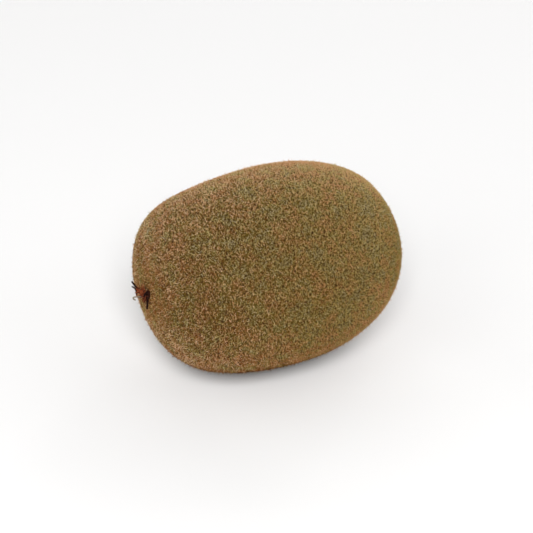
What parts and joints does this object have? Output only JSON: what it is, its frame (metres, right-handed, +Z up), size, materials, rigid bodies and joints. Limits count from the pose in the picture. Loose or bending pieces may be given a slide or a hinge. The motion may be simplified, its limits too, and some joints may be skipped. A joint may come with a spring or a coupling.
{
  "type": "kiwi fruit",
  "caption": "Whole kiwi fruit lying on its side: fuzzy olive-brown skin, blunt blossom end with a tuft of dried styles, rounder stem end with a dry calyx.",
  "frame": {"origin": "centre of the small flat spot that the fruit rests on", "axes": "+X along the fruit towards its stem end, the tuft of dried styles faces -X, +Z up"},
  "size_m": [0.0699, 0.0515, 0.0483],
  "materials": {
    "skin": "matte olive-brown skin under short tan and brown fuzz",
    "styles": "dry, dark brown to rusty threads",
    "calyx": "dry, matte brown, with a paler corky scar"
  },
  "bodies": {
    "root": {"fruit_body": "skin", "dried_styles": "styles", "dried_calyx": "calyx"}
  },
  "joints": []
}
